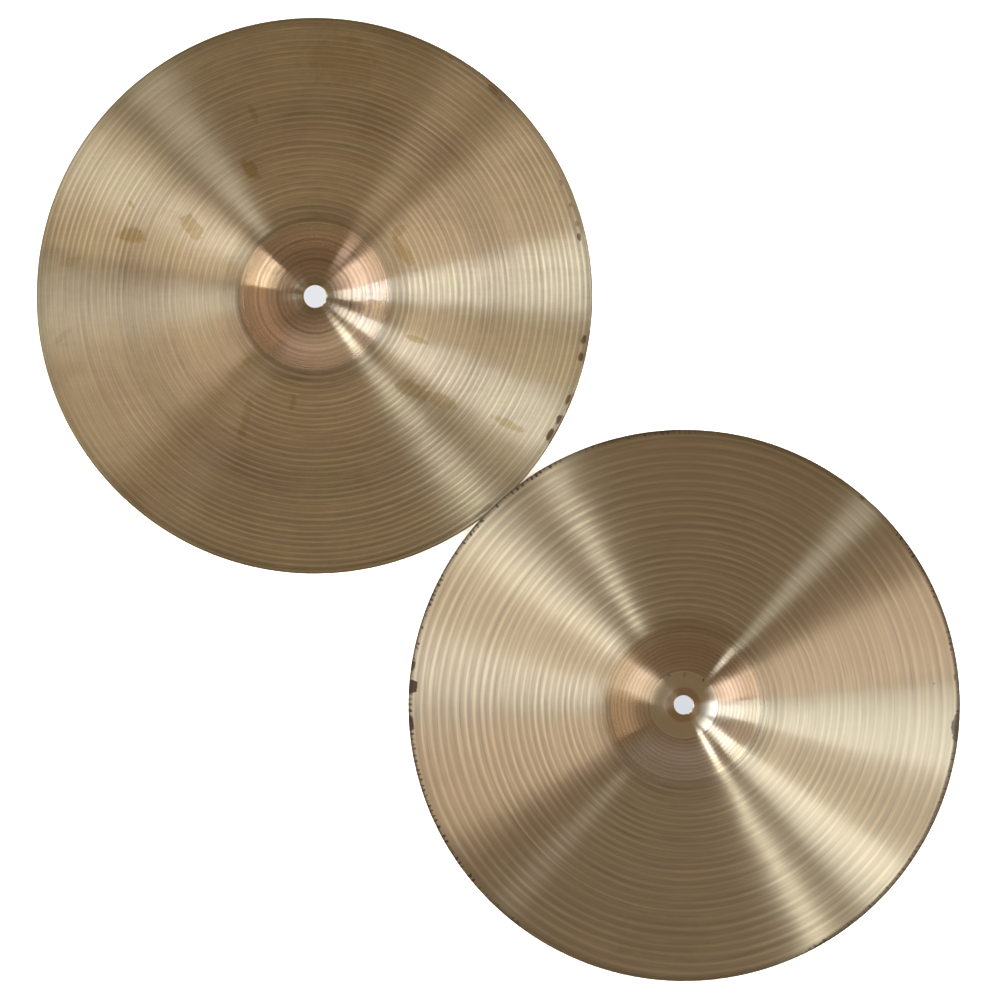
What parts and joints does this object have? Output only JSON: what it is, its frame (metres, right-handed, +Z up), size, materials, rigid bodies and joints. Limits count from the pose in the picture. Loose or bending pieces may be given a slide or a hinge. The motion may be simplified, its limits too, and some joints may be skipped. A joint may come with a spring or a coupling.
{
  "type": "hi-hat cymbal pair",
  "caption": "Pair of thin lathed bronze hi-hat cymbals with domed bells and drilled centre holes, lying loose side by side with their hollow sides up.",
  "frame": {"origin": "on the surface that the two bells rest on, in the middle of the pair's footprint", "axes": "+Z up, along both cymbals' axes and out of their hollow sides; the bottom cymbal lies at -X +Y, the top cymbal at +X -Y"},
  "size_m": [0.5928, 0.6184, 0.042],
  "materials": {
    "bottom_bronze": "lathed bronze, dulled and stained with age",
    "top_bronze": "finely lathed bronze, semi-bright, spotted at the rim"
  },
  "bodies": {
    "bottom_cymbal": {"bottom_cymbal": "bottom_bronze"},
    "top_cymbal": {"top_cymbal": "top_bronze"}
  },
  "joints": [
    {"name": "close_pair", "type": "hinge", "parent": "bottom_cymbal", "child": "top_cymbal", "pos_m": [0.00072, -0.00072, 0.0414], "axis": [-0.7424, -0.6699, 0], "range_deg": [0, 180]}
  ]
}
